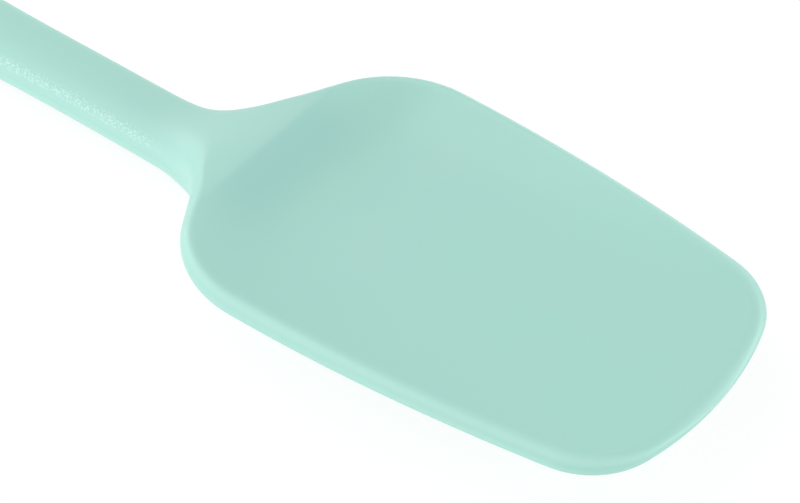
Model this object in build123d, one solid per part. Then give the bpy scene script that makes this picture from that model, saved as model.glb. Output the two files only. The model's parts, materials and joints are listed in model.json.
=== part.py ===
from build123d import *
import math
import os

# Silicone spoon spatula: one seamless silicone skin moulded over a steel spine with a clamped nylon grip core.
# Millimetres. +X runs from the handle to the tip of the blade, +Z is up, and the part is even about Y = 0.
# The origin is on the table under the middle of the whole length. It lies on its belly and its grip.

# Whole object
total_length = 280.0
rim_height = 15.3            # the flat rim of the scoop above the table
overrun = 2.0                # how far a cutter runs past what it cuts

# Outline of the head, seen from above
head_length = 89.0           # from the crest to the tip
head_width = 59.8
widest_from_crest = 19.0
side_radius = 330.0          # the long, hardly curved sides
end_radius = 55.0            # the hardly curved end
tip_corner_radius = 13.6
shoulder_radius = 20.0
shoulder_angle = 60.0        # degrees between the shoulder's straight stretch and the length
crest_width = 27.6           # across the outline at the crest
neck_fillet_radius = 19.5    # hollow curve from the shoulder into the neck

# Rim: a rounded lip all round the head, with the mould's parting line at its outermost edge
lip_width = 1.8
rim_round_reach = 2.3        # how far in from the outline the rounding runs
edge_above_parting = 2.2
edge_below_parting = 1.8
tip_edge_above_parting = 1.6
tip_edge_below_parting = 1.3

# Scoop and belly
scoop_depth = 5.2
crest_flat = 2.2             # from the crest line to where the scoop starts to fall
scoop_wall_length = 15.0     # from there to the deepest place
belly_from_crest = 8.0       # where the underside leaves the table and climbs to the tip

# Neck: it runs on under the head as a keel
neck_width = 12.1
neck_thickness = 8.7
neck_lift = 0.9              # its underside above the table
neck_from_crest = 25.0       # its narrowest place
neck_drop_length = 60.0      # from the narrowest place back to where the underside meets the table
ramp_start = 23.3            # before the crest, where the neck's top starts to climb to the rim
ramp_end = 6.7               # past the crest, where it is level with the rim
parting_climb_start = 12.8   # before the crest, where the outermost edge starts to climb to the lip
parting_climb_end = 2.7      # past the crest
lip_start = 6.6              # before the crest, where the round neck starts to thin out into the lip
keel_half_width = 6.85       # where the keel's sides are steepest
keel_end = 22.0              # past the crest, where the keel has spread into the belly

# Grip
grip_width = 19.5
grip_thickness = 11.5
flare_from_neck = 6.0        # from the neck's narrowest place back to where the handle starts to widen
full_grip_from_end = 40.0    # from the handle's end to where it is at full width
end_round_length = 9.5

# Hanging hole
hang_hole_diameter = 6.5
hang_hole_from_end = 11.0
hang_hole_mouth = 1.0        # rounding of its mouth
mouth_over_face = 0.1        # how far the rounding would run on past the face, so that it meets it at an angle

# Steel spine, stamped from one sheet
spine_thickness = 1.8
spine_width = 7.0
tongue_width = 15.0
tongue_start_from_crest = 16.0
tongue_end_from_crest = 42.0
tongue_corner_radius = 3.0
tongue_hole_diameter = 4.5
tongue_holes = 3
ring_wall = 2.8
ring_cover = 1.3             # silicone between the hanging hole and the steel ring

# Nylon grip core, two halves clamped on the spine
skin_wall = 2.2
core_end_from_end = 30.0
core_corner_radius = 1.0
core_stations = 5
rivet_diameter = 2.6
rivet_head_diameter = 4.6
rivet_head_height = 0.9
rivet_head_cover = 0.3       # how far the heads lie below the core's faces
rivets = 3
rivet_inset = 10.0           # from each end of the core to the first rivet

# Places along X
tip_x = total_length / 2
end_x = -total_length / 2
crest_x = tip_x - head_length
neck_x = crest_x - neck_from_crest
flare_start = neck_x - flare_from_neck
flare_end = end_x + full_grip_from_end
scoop_start = crest_x + crest_flat
deepest_x = scoop_start + scoop_wall_length
scoop_end = tip_x - lip_width

# Shares and exponents that shape the smooth faces
grip_roundness = 2.7         # exponent of the grip's oval section
nose_roundness = 2.3         # exponent of the grip's end, seen from the side and from above
lip_roundness = 1.6          # exponent of the lip's rounding: 2 is a circle
scoop_flatness = 4.5         # higher is a flatter floor with steeper sides
scoop_softness = 1.2         # higher is a softer start at the lip
floor_rise = 1.2             # 1 is a straight climb to the tip, higher keeps the floor low for longer
wall_softness = 2.0          # higher is a softer start at the crest
wall_steepness = 2.1         # higher brings the steepest place nearer to the crest
belly_rise = 0.9             # 1 is a straight climb to the tip
keel_steepness = 6           # of the keel's sides under the neck
belly_steepness = 2.4        # of the keel's sides where it ends
belly_reach_share = 0.25     # of the head's width, where the keel's sides are steepest as it ends
belly_narrowness = 1.3       # of the underside in the open blade
core_start_share = 0.425     # of the handle's flare from the neck, where the core starts


def smooth(share):
    """An even S from 0 to 1, flat at both ends."""
    t = min(max(share, 0.0), 1.0)
    return t * t * t * (10 - 15 * t + 6 * t * t)


def blend(start, end, share):
    return start + (end - start) * smooth(share)


def quarter(share, exponent):
    """Height of a rounded edge: 0 at the outline, 1 where the rounding ends."""
    t = min(max(share, 0.0), 1.0)
    return (1 - (1 - t) ** exponent) ** (1 / exponent)


def meet(center_a, radius_a, center_b, radius_b):
    """The crossing of two circles that lies nearer to the tip."""
    apart = center_b - center_a
    reach = (radius_a ** 2 - radius_b ** 2 + apart.length ** 2) / (2 * apart.length)
    along = apart.normalized()
    height = math.sqrt(radius_a ** 2 - reach ** 2)
    points = [center_a + along * reach + Vector(-along.Y, along.X) * side * height for side in (1, -1)]
    return max(points, key=lambda point: point.X)


# The upper half of the head's outline: end arc, corner, side arc, shoulder arc, straight shoulder, hollow.
end_center = Vector(tip_x - end_radius, 0)
side_center = Vector(crest_x + widest_from_crest, head_width / 2 - side_radius)
corner_center = meet(end_center, end_radius - tip_corner_radius, side_center, side_radius - tip_corner_radius)
flank = Vector(math.cos(math.radians(shoulder_angle)), math.sin(math.radians(shoulder_angle)))
inward = Vector(flank.Y, -flank.X)
flank_point = Vector(crest_x, crest_width / 2)


def shoulder_arc_center():
    """Inside the side arc and the straight shoulder, a radius from both."""
    start = flank_point + inward * shoulder_radius
    back = (start - side_center).dot(flank)
    gap = (start - side_center).length ** 2 - (side_radius - shoulder_radius) ** 2
    return start + flank * (-back + math.sqrt(back ** 2 - gap))


shoulder_center = shoulder_arc_center()
hollow_start = flank_point - inward * neck_fillet_radius
hollow_rise = neck_width / 2 + neck_fillet_radius - hollow_start.Y
hollow_center = hollow_start + flank * (hollow_rise / flank.Y)

end_to_corner = end_center + (corner_center - end_center).normalized() * end_radius
corner_to_side = side_center + (corner_center - side_center).normalized() * side_radius
side_to_shoulder = side_center + (shoulder_center - side_center).normalized() * side_radius
shoulder_to_flank = shoulder_center - inward * shoulder_radius
flank_to_hollow = hollow_center + inward * neck_fillet_radius


def end_share(x):
    """1 along the handle, falling to 0 at its rounded end."""
    return quarter((x - end_x) / end_round_length, nose_roundness)


def grip_share(x):
    """0 at the neck and 1 where the grip has its full width."""
    return smooth((flare_start - x) / (flare_start - flare_end))


def half_width(x):
    """Half the width of the outline."""
    def arc(center, radius, side=1):
        return center.Y + side * math.sqrt(max(radius ** 2 - (x - center.X) ** 2, 0.0))

    if x <= hollow_center.X:
        width = neck_width + (grip_width - neck_width) * grip_share(x)
        return width / 2 * end_share(x)
    if x <= flank_to_hollow.X:
        return arc(hollow_center, neck_fillet_radius, -1)
    if x <= shoulder_to_flank.X:
        return flank_point.Y + (x - flank_point.X) * flank.Y / flank.X
    if x <= side_to_shoulder.X:
        return arc(shoulder_center, shoulder_radius)
    if x <= corner_to_side.X:
        return arc(side_center, side_radius)
    if x <= end_to_corner.X:
        return arc(corner_center, tip_corner_radius)
    return arc(end_center, end_radius)


def edge_distance(x, y):
    """From a point of the plan, y not negative, in to the outline."""
    point = Vector(x, y)
    direct = half_width(x) - y
    if x <= hollow_center.X:
        return direct
    near = [direct]
    pieces = (
        (end_center, end_radius, Vector(tip_x, 0), end_to_corner),
        (corner_center, tip_corner_radius, end_to_corner, corner_to_side),
        (side_center, side_radius, corner_to_side, side_to_shoulder),
        (shoulder_center, shoulder_radius, side_to_shoulder, shoulder_to_flank),
    )
    for center, radius, first, last in pieces:
        ray = point - center
        if (first - center).cross(ray).Z >= 0 and ray.cross(last - center).Z >= 0:
            near.append(radius - ray.length)
    along = (point - flank_point).dot(flank)
    if (flank_to_hollow - flank_point).dot(flank) <= along <= (shoulder_to_flank - flank_point).dot(flank):
        near.append((point - flank_point).dot(inward))
    ray = point - hollow_center
    if ray.cross(inward).Z >= 0:
        near.append(ray.length - neck_fillet_radius)
    return max(min(near), 0.0)


def climb_share(x, start, end):
    """0 at start before the crest and 1 at end past it."""
    return (x - crest_x + start) / (start + end)


def head_share(x):
    return (x - crest_x) / head_length


def handle_underside(x):
    return blend(neck_lift, 0, (neck_x - x) / neck_drop_length)


def handle_thickness(x):
    return neck_thickness + (grip_thickness - neck_thickness) * grip_share(x)


def edge_top(x):
    return blend(edge_above_parting, tip_edge_above_parting, head_share(x))


def edge_bottom(x):
    return blend(edge_below_parting, tip_edge_below_parting, head_share(x))


def parting_height(x):
    """Height of the outermost edge."""
    on_handle = handle_underside(x) + handle_thickness(x) / 2
    return blend(on_handle, rim_height - edge_top(x), climb_share(x, parting_climb_start, parting_climb_end))


def ridge_height(x):
    """Top of the middle line, without the scoop."""
    on_handle = handle_underside(x) + handle_thickness(x)
    return blend(on_handle, rim_height, climb_share(x, ramp_start, ramp_end))


def keel_height(x):
    """Lowest line of the underside."""
    belly_x = crest_x + belly_from_crest
    if x < belly_x:
        return blend(handle_underside(x), 0, (x - neck_x) / (belly_x - neck_x))
    climb = (x - belly_x) / (tip_x - belly_x)
    return (rim_height - edge_top(x) - edge_bottom(x)) * climb ** belly_rise


def oval(share):
    """Height across the handle's section: 1 in the middle and 0 at its side."""
    return (1 - min(share, 1.0) ** grip_roundness) ** (1 / grip_roundness)


def rounding(x, y):
    """0 on the outline and 1 where the edge rounding ends: half the handle, but only the lip on the head."""
    if x < neck_x:
        return oval(y / half_width(x))
    share = climb_share(x, lip_start, 0)
    reach = blend(neck_width / 2, rim_round_reach, share)
    return quarter(edge_distance(x, y) / reach, blend(grip_roundness, lip_roundness, share))


def scoop_fall(x, y):
    """How far the floor of the scoop lies below the rim."""
    inner = half_width(x) - lip_width
    if inner <= 0 or y >= inner or not scoop_start < x < scoop_end:
        return 0.0
    wall = min((x - scoop_start) / scoop_wall_length, 1.0)
    fall = (1 - (1 - wall) ** wall_steepness) ** wall_softness
    climb = 1 - max((x - deepest_x) / (scoop_end - deepest_x), 0.0) ** floor_rise
    across = (1 - (y / inner) ** scoop_flatness) ** scoop_softness
    return scoop_depth * fall * climb * across


def keel_share(x, y):
    """Across the underside: oval like the neck, then a bell for the keel, which widens into the belly."""
    half = half_width(x)
    across = min(y / half, 1.0)
    spread = climb_share(x, lip_start, keel_end)
    reach = blend(keel_half_width, head_width * belly_reach_share, spread)
    steepness = blend(keel_steepness, belly_steepness, spread)

    def bell(place):
        return 1 / (1 + (place / reach) ** steepness)

    keel = (bell(across * half) - bell(half)) / (1 - bell(half))
    belly = (1 - across ** 2) ** belly_narrowness
    under_head = blend(keel, belly, climb_share(x, 0, keel_end))
    return blend(oval(across), under_head, climb_share(x, lip_start, 0))


def top_height(x, y):
    raised = ridge_height(x) - parting_height(x)
    return parting_height(x) + raised * end_share(x) * rounding(x, y) - scoop_fall(x, y)


def bottom_height(x, y):
    whole = parting_height(x) - keel_height(x)
    lip = blend(whole, edge_bottom(x), climb_share(x, lip_start, 0))
    keel = (whole - lip) * keel_share(x, y)
    return parting_height(x) - lip * end_share(x) * rounding(x, y) - keel


# Skin: a smooth loft through cross-sections, closer together at the rounded ends and in the neck
first_cut = 0.06             # how far from each rounded end the first section is cut
neck_step = 2.2              # between sections where the neck opens into the scoop
widest_step = 9.0
step_growth_share = 0.3      # of the distance from a rounded end or the neck, by which the step may grow
half_points = 16             # points on each half of a section's upper or lower line
edge_step_share = 0.02       # of a section's line, over which its steepness at the edge is taken


def section_places():
    """Places of the sections, each step close to the one before it."""
    start = end_x + first_cut
    end = tip_x - first_cut
    busy_end = (scoop_start + deepest_x) / 2
    places = [start]
    while places[-1] < end:
        x = places[-1]
        from_neck = max(neck_x - x, x - busy_end, 0.0)
        from_end = min(x - end_x, tip_x - x)
        step = min(neck_step + step_growth_share * from_neck, step_growth_share * from_end, widest_step)
        places.append(x + max(step, first_cut / 2))
    places = places[:-1]
    stretch = (end - start) / (places[-1] - start)
    return [start + (x - start) * stretch for x in places]


def section(x):
    """One cross-section as a closed wire of an upper and a lower line, upright where they meet."""
    half = half_width(x)
    steps = range(-half_points, half_points + 1)
    sides = [half * math.sin(math.pi / 2 * i / half_points) for i in steps]
    shares = [(i + half_points) / (2 * half_points) for i in steps]
    near = half * math.cos(math.pi * edge_step_share)

    def line(height, side):
        """Across one face, starting and ending upright, as steep as the rounding is there."""
        steep = (height(x, near) - parting_height(x)) / edge_step_share
        points = [Vector(x, y * side, height(x, min(abs(y), half))) for y in sides]
        ends = (Vector(0, 0, steep), Vector(0, 0, -steep))
        return Edge.make_spline(points, tangents=ends, parameters=shares, scale=False)

    return Wire([line(top_height, 1), line(bottom_height, -1)])


def skin_body():
    """The whole outer form, still solid and without its hanging hole."""
    return Solid.make_loft([section(x) for x in section_places()], ruled=False)


# Hanging hole and steel ring share one centre
hole_x = end_x + hang_hole_from_end
hole_radius = hang_hole_diameter / 2
ring_inner_radius = hole_radius + ring_cover
ring_outer_radius = ring_inner_radius + ring_wall


def hanging_hole():
    """Cutter for the hole, with both mouths rounded."""
    middle = handle_underside(hole_x) + handle_thickness(hole_x) / 2
    high = middle + handle_thickness(hole_x) / 2 + mouth_over_face
    start = Vector(hole_radius, 0, high - hang_hole_mouth)
    finish = start + Vector(1, 0, 1) * hang_hole_mouth
    turn = Vector(1 - math.cos(math.pi / 4), 0, math.sin(math.pi / 4))
    bend = start + turn * hang_hole_mouth
    above = high + overrun
    outline = [
        Line((0, 0, middle), (hole_radius, 0, middle)),
        Line((hole_radius, 0, middle), start),
        ThreePointArc(start, bend, finish),
        Line(finish, (finish.X, 0, above)),
        Line((finish.X, 0, above), (0, 0, above)),
        Line((0, 0, above), (0, 0, middle)),
    ]
    upper = revolve(make_face(outline), Axis.Z)
    lower = mirror(upper, Plane.XY.offset(middle))
    return Pos(hole_x, 0, 0) * (upper + lower)


# Spine: level along the handle, then bent to follow the middle of the blade
spine_height = handle_underside(neck_x) + neck_thickness / 2
tongue_start = crest_x + tongue_start_from_crest
tongue_end = crest_x + tongue_end_from_crest
core_start = flare_start - core_start_share * (flare_start - flare_end)
core_end = end_x + core_end_from_end
rivet_places = [
    core_start - rivet_inset - (core_start - core_end - 2 * rivet_inset) * i / (rivets - 1) for i in range(rivets)
]


def blade_middle(x):
    """Halfway between the floor of the scoop and the underside, across the width of the tongue."""
    return (top_height(x, 0) + bottom_height(x, tongue_width / 2)) / 2


def steel_spine():
    """Strip with a pierced tongue in the blade and a ring round the hanging hole."""
    line = [
        (end_x, spine_height),
        (neck_x, spine_height),
        (tongue_start, blade_middle(tongue_start)),
        (deepest_x, blade_middle(deepest_x)),
        (tongue_end, blade_middle(tongue_end)),
    ]
    half = spine_thickness / 2
    corners = [(x, 0, z + half) for x, z in line] + [(x, 0, z - half) for x, z in reversed(line)]
    side = make_face(Polyline(*corners, close=True))
    sheet = extrude(side, amount=tongue_width, both=True)

    strip_length = tongue_start + tongue_corner_radius - hole_x
    tongue_length = tongue_end - tongue_start
    plan = Pos(hole_x + strip_length / 2, 0) * Rectangle(strip_length, spine_width)
    plan += Pos(hole_x, 0) * Circle(ring_outer_radius)
    tongue = RectangleRounded(tongue_length, tongue_width, tongue_corner_radius)
    plan += Pos(tongue_start + tongue_length / 2, 0) * tongue
    plan -= Pos(hole_x, 0) * Circle(ring_inner_radius)
    for i in range(tongue_holes):
        place = tongue_start + tongue_length * (i + 1) / (tongue_holes + 1)
        plan -= Pos(place, 0) * Circle(tongue_hole_diameter / 2)
    for x in rivet_places:
        plan -= Pos(x, 0) * Circle(rivet_diameter / 2)
    return sheet & extrude(plan, amount=rim_height)


# Grip core: tapers with the grip, a skin's thickness inside it
def core_bottom(x):
    return handle_underside(x) + skin_wall


def core_top(x):
    return handle_underside(x) + handle_thickness(x) - skin_wall


def grip_core():
    """Both halves in one, before the spine and the rivets are taken out."""
    sections = []
    for i in range(core_stations):
        x = core_end + (core_start - core_end) * i / (core_stations - 1)
        width = 2 * (half_width(x) - skin_wall)
        height = core_top(x) - core_bottom(x)
        place = Plane(origin=(x, 0, (core_top(x) + core_bottom(x)) / 2), x_dir=(0, 1, 0), z_dir=(1, 0, 0))
        sections.append(place * RectangleRounded(width, height, core_corner_radius))
    return loft(sections, ruled=True)


def rivet(x):
    """Shank through both halves and the spine, with a flat head at each end."""
    low = core_bottom(x) + rivet_head_cover
    high = core_top(x) - rivet_head_cover
    shank = Pos(x, 0, (low + high) / 2) * Cylinder(rivet_diameter / 2, high - low)
    for z in (low + rivet_head_height / 2, high - rivet_head_height / 2):
        shank += Pos(x, 0, z) * Cylinder(rivet_head_diameter / 2, rivet_head_height)
    return shank


def rivet_bore(x):
    """Clearance in the core for one rivet, with its head pockets open to the core's faces."""
    low = core_bottom(x) + rivet_head_cover + rivet_head_height
    high = core_top(x) - rivet_head_cover - rivet_head_height
    bore = Pos(x, 0, (low + high) / 2) * Cylinder(rivet_diameter / 2, high - low + overrun)
    pocket = Cylinder(rivet_head_diameter / 2, rivet_head_height + overrun)
    rise = (rivet_head_height + overrun) / 2
    return bore + Pos(x, 0, high + rise) * pocket + Pos(x, 0, low - rise) * pocket


def core_halves(spine):
    """Upper and lower half, parted at the middle of the spine."""
    core = grip_core() - spine
    for x in rivet_places:
        core -= rivet_bore(x)
    block = Pos(0, 0, spine_height + rim_height / 2) * Box(total_length, grip_width, rim_height)
    return core & block, core - block


def write(solid, name):
    """Write one sub-part, and say what it measures."""
    export_step(solid, f"parts/{name}.step")
    size = solid.bounding_box().size
    solids = len(solid.solids())
    print(f"{name}: {solids} solid, {solid.volume:.0f} mm3, {size.X:.1f} x {size.Y:.1f} x {size.Z:.1f} mm")


def main():
    os.makedirs("parts", exist_ok=True)
    spine = steel_spine()
    core_top_half, core_bottom_half = core_halves(spine)
    insides = {
        "steel_spine": spine,
        "nylon_core_top": core_top_half,
        "nylon_core_bottom": core_bottom_half,
    }
    for number, x in enumerate(rivet_places, start=1):
        insides[f"core_rivet_{number}"] = rivet(x)
    skin = skin_body() - hanging_hole()
    for solid in insides.values():
        skin -= solid
    write(skin, "silicone_skin")
    for name, solid in insides.items():
        write(solid, name)


main()
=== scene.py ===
# %% [markdown]
# # A spoon spatula in mint silicone
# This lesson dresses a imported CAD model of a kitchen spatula: a broad, shallow scoop, a slim neck
# and a flat grip with a hole to hang it by. On the real object all that shows is one seamless
# silicone skin. The steel spine and nylon core under it are the usual ones, and can't be seen. So
# there is one large smooth form to make well, satin on the blade and finely grained on the handle.

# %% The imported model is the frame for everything
import json
import math

import bpy
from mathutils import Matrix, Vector

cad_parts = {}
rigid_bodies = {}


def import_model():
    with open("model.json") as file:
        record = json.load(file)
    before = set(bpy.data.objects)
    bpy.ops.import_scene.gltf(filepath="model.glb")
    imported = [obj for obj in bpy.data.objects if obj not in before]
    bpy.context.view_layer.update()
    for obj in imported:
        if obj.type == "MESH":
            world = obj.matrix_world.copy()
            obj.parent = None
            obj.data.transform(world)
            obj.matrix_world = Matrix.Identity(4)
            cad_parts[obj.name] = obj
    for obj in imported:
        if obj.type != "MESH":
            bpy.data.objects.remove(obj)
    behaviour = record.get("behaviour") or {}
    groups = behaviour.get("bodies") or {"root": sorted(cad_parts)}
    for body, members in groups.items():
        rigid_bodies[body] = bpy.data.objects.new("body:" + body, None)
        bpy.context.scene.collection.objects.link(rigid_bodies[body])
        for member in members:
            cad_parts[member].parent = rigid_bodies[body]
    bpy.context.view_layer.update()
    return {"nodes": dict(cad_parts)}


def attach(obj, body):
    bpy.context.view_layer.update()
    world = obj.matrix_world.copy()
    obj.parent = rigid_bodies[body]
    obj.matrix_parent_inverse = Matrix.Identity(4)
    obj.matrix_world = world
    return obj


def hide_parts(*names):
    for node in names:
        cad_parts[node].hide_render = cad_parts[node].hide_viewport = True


for leftover in list(bpy.data.objects):
    bpy.data.objects.remove(leftover)
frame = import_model()
mm = 0.001


print("CAD nodes:", ", ".join(sorted(frame["nodes"])))

# %% [markdown]
# ## The camera
# The photograph was taken from in front and above, with a long lens close to the blade, and the
# handle runs out of the picture. The camera's place was worked out from the blade's outline, and it
# is written here in the object's own frame. A direction is easier to read than angles, so the
# camera gets the way it looks, and a quaternion turns it there.

# %% A camera at the photograph's angle
camera_data = bpy.data.cameras.new("photo_camera")
camera_data.sensor_width = 36
camera_data.lens = 109.71
camera_data.clip_start = 10 * mm
camera = bpy.data.objects.new("photo_camera", camera_data)
bpy.context.scene.collection.objects.link(camera)
camera.location = (242.14 * mm, -207.69 * mm, 283.29 * mm)
view_direction = Vector((-0.42163, 0.54571, -0.72417))
camera.rotation_euler = view_direction.to_track_quat("-Z", "Y").to_euler()
bpy.context.scene.camera = camera
print("camera at", [round(value, 3) for value in camera.location], "m")

# %% [markdown]
# ## Floor, backdrop and light
# The picture is a product shot on pure white. So the camera and the reflections see the floor as
# almost pure white, with a breath of shadow. To all other light it is a light table, which
# brightens the lip from below but not the inside of the scoop. From underneath it is clear, so that
# the underside can be looked at too. Large area lamps make the broad, soft highlights along the rim
# and the near side of the grip.

# %% A helper for materials, and the floor
TABLE = {"paint": 0.9, "glow": 0.57}        # for the light that reaches the object
BACKDROP = {"paint": 0.15, "glow": 0.86}    # for the camera and the reflections
FLOOR_SIZE = 6.0
FLOOR_GAP = 0.05 * mm


def new_material(name):
    """An empty material with its output node."""
    material = bpy.data.materials.new(name)
    material.use_nodes = True
    material.node_tree.nodes.clear()
    material.node_tree.nodes.new("ShaderNodeOutputMaterial").name = "Surface"
    return material


def sheet_shader(material, paint, glow):
    """Matt paint that also glows by itself."""
    nodes, links = material.node_tree.nodes, material.node_tree.links
    matt = nodes.new("ShaderNodeBsdfDiffuse")
    matt.inputs["Color"].default_value = (paint, paint, paint, 1)
    light = nodes.new("ShaderNodeEmission")
    light.inputs["Strength"].default_value = glow
    both = nodes.new("ShaderNodeAddShader")
    links.new(matt.outputs[0], both.inputs[0])
    links.new(light.outputs[0], both.inputs[1])
    return both


def floor_material():
    """A light table that the camera sees as a white backdrop, and clear from below."""
    material = new_material("pale_floor")
    nodes, links = material.node_tree.nodes, material.node_tree.links
    table = sheet_shader(material, **TABLE)
    backdrop = sheet_shader(material, **BACKDROP)
    path = nodes.new("ShaderNodeLightPath")
    seen = nodes.new("ShaderNodeMath")
    seen.operation = "MAXIMUM"
    mix = nodes.new("ShaderNodeMixShader")
    for ray, socket in zip(("Is Camera Ray", "Is Glossy Ray"), seen.inputs):
        links.new(path.outputs[ray], socket)
    links.new(seen.outputs[0], mix.inputs[0])
    links.new(table.outputs[0], mix.inputs[1])
    links.new(backdrop.outputs[0], mix.inputs[2])
    one_way = nodes.new("ShaderNodeMixShader")
    links.new(nodes.new("ShaderNodeNewGeometry").outputs["Backfacing"], one_way.inputs[0])
    links.new(mix.outputs[0], one_way.inputs[1])
    links.new(nodes.new("ShaderNodeBsdfTransparent").outputs[0], one_way.inputs[2])
    links.new(one_way.outputs[0], nodes["Surface"].inputs["Surface"])
    return material


def make_floor(size):
    """A square sheet just under the object."""
    half = size / 2
    corners = [(-half, -half), (half, -half), (half, half), (-half, half)]
    mesh = bpy.data.meshes.new("floor")
    mesh.from_pydata([(x, y, -FLOOR_GAP) for x, y in corners], [], [(0, 1, 2, 3)])
    mesh.materials.append(floor_material())
    floor = bpy.data.objects.new("floor", mesh)
    bpy.context.scene.collection.objects.link(floor)
    return floor


floor = make_floor(FLOOR_SIZE)
print("floor:", floor.dimensions.x, "m square")

# %% World and lamps
SKY_STRENGTH = 0.67    # the camera sees pure white instead
LAMP_SIZE = 0.9
LAMP_DISTANCE = 1.3
BLADE_MIDDLE = Vector((60 * mm, 0, 10 * mm))

world = bpy.data.worlds.new("studio")
bpy.context.scene.world = world
world.use_nodes = True
sky_nodes, sky_links = world.node_tree.nodes, world.node_tree.links
background = sky_nodes["Background"]
background.inputs["Color"].default_value = (1, 1, 1, 1)
sky = sky_nodes.new("ShaderNodeMath")
sky.operation = "MAXIMUM"
sky.inputs[1].default_value = SKY_STRENGTH
sky_path = sky_nodes.new("ShaderNodeLightPath")
sky_links.new(sky_path.outputs["Is Camera Ray"], sky.inputs[0])
sky_links.new(sky.outputs[0], background.inputs["Strength"])


def add_lamp(name, azimuth, elevation, strength):
    """A square lamp that faces the blade, from a direction in degrees."""
    data = bpy.data.lights.new(name, "AREA")
    data.shape = "SQUARE"
    data.size = LAMP_SIZE
    data.energy = strength
    lamp = bpy.data.objects.new(name, data)
    bpy.context.scene.collection.objects.link(lamp)
    turn, rise = math.radians(azimuth), math.radians(elevation)
    flat = math.cos(rise)
    away = Vector((flat * math.cos(turn), flat * math.sin(turn), math.sin(rise)))
    lamp.location = BLADE_MIDDLE + away * LAMP_DISTANCE
    lamp.rotation_euler = (-away).to_track_quat("-Z", "Y").to_euler()
    return lamp


lamps = [
    add_lamp("right_box", 38, 10, 9.6),
    add_lamp("left_box", 173, 10, 4.8),
    add_lamp("front_box", 263, 10, 5.0),
    add_lamp("high_left_box", 188, 57, 4.2),
    add_lamp("high_front_box", 248, 57, 2.7),
]
print("lamps:", [lamp.name for lamp in lamps])

scene = bpy.context.scene
scene.view_settings.view_transform = "Standard"

# %% [markdown]
# ## The sizes
# These are the same sizes as the CAD source has, so the skin that is made here lies exactly where
# the CAD skin lies. Each becomes a named input of the Geometry Nodes tree below, and could be
# turned up or down there like a dial.

# %% Sizes of the spatula, in metres, and the exponents that shape it
SIZES = {
    "Total Length": 280 * mm,
    "Rim Height": 15.3 * mm,
    "Head Length": 89 * mm,
    "Head Width": 59.8 * mm,
    "Lip Width": 1.8 * mm,
    "Lip Rounding": 2.3 * mm,
    "Edge Above Parting": 2.2 * mm,
    "Edge Below Parting": 1.8 * mm,
    "Tip Edge Above Parting": 1.6 * mm,
    "Tip Edge Below Parting": 1.3 * mm,
    "Scoop Depth": 5.2 * mm,
    "Crest Flat": 2.2 * mm,
    "Scoop Wall Length": 15.0 * mm,
    "Belly From Crest": 8 * mm,
    "Neck Width": 12.1 * mm,
    "Neck Thickness": 8.7 * mm,
    "Neck Lift": 0.9 * mm,
    "Neck From Crest": 25 * mm,
    "Neck Drop Length": 60 * mm,
    "Ramp Start": 23.3 * mm,
    "Ramp End": 6.7 * mm,
    "Parting Climb Start": 12.8 * mm,
    "Parting Climb End": 2.7 * mm,
    "Lip Start": 6.6 * mm,
    "Keel Half Width": 6.85 * mm,
    "Keel End": 22 * mm,
    "Grip Width": 19.5 * mm,
    "Grip Thickness": 11.5 * mm,
    "Flare From Neck": 6 * mm,
    "Full Grip From End": 40 * mm,
    "End Round Length": 9.5 * mm,
    "Hole Radius": 3.25 * mm,
    "Hole From End": 11 * mm,
    "Hole Mouth": 1 * mm,
    "Grip Roundness": 2.7,
    "Nose Roundness": 2.3,
    "Lip Roundness": 1.6,
    "Scoop Flatness": 4.5,
    "Scoop Softness": 1.2,
    "Floor Rise": 1.2,
    "Wall Softness": 2.0,
    "Wall Steepness": 2.1,
    "Belly Rise": 0.9,
    "Keel Steepness": 6.0,
    "Belly Steepness": 2.4,
    "Belly Reach Share": 0.25,
    "Belly Narrowness": 1.3,
}
print(len(SIZES), "named sizes")

# %% [markdown]
# ## The outline
# Seen from above, the head is a chain of arcs that run smoothly into one another: a hardly curved
# end, tight corners at the tip, long sides, round shoulders, a straight flank and a hollow that
# leads into the neck. The centres of the arcs follow from the sizes, because each arc touches its
# neighbours. That is school geometry, so it is worked out here with vectors, and the tree only gets
# the centres and the points where one arc hands over to the next.

# %% Where the arcs of the outline touch
tip_x = SIZES["Total Length"] / 2
crest_x = tip_x - SIZES["Head Length"]
end_radius = 55 * mm
corner_radius = 13.6 * mm
side_radius = 330 * mm
shoulder_radius = 20 * mm
hollow_radius = 19.5 * mm
widest_from_crest = 19 * mm
crest_half_width = 13.8 * mm
flank_slope = math.radians(60)
flank = Vector((math.cos(flank_slope), math.sin(flank_slope)))
inward = Vector((flank.y, -flank.x))
flank_point = Vector((crest_x, crest_half_width))


def meet(center_a, radius_a, center_b, radius_b):
    """The crossing of two circles that lies nearer to the tip."""
    apart = center_b - center_a
    reach = (radius_a**2 - radius_b**2 + apart.length**2) / (2 * apart.length)
    along = apart.normalized()
    height = math.sqrt(radius_a**2 - reach**2)
    foot = center_a + along * reach
    upright = Vector((-along.y, along.x))
    crossings = [foot + upright * side * height for side in (1, -1)]
    return max(crossings, key=lambda crossing: crossing.x)


def touch(center, radius, other):
    """Where the circle about center touches one inside it about other."""
    return center + (other - center).normalized() * radius


end_center = Vector((tip_x - end_radius, 0))
side_center = Vector((crest_x + widest_from_crest, SIZES["Head Width"] / 2 - side_radius))
corner_center = meet(
    end_center, end_radius - corner_radius,
    side_center, side_radius - corner_radius,
)
print("tip corner about", [round(value / mm, 2) for value in corner_center], "mm")

# %% The shoulder and the hollow
shoulder_start = flank_point + inward * shoulder_radius
back = (shoulder_start - side_center).dot(flank)
gap = (shoulder_start - side_center).length_squared - (side_radius - shoulder_radius) ** 2
shoulder_center = shoulder_start + flank * (-back + math.sqrt(back**2 - gap))
hollow_start = flank_point - inward * hollow_radius
hollow_rise = SIZES["Neck Width"] / 2 + hollow_radius - hollow_start.y
hollow_center = hollow_start + flank * (hollow_rise / flank.y)


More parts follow.
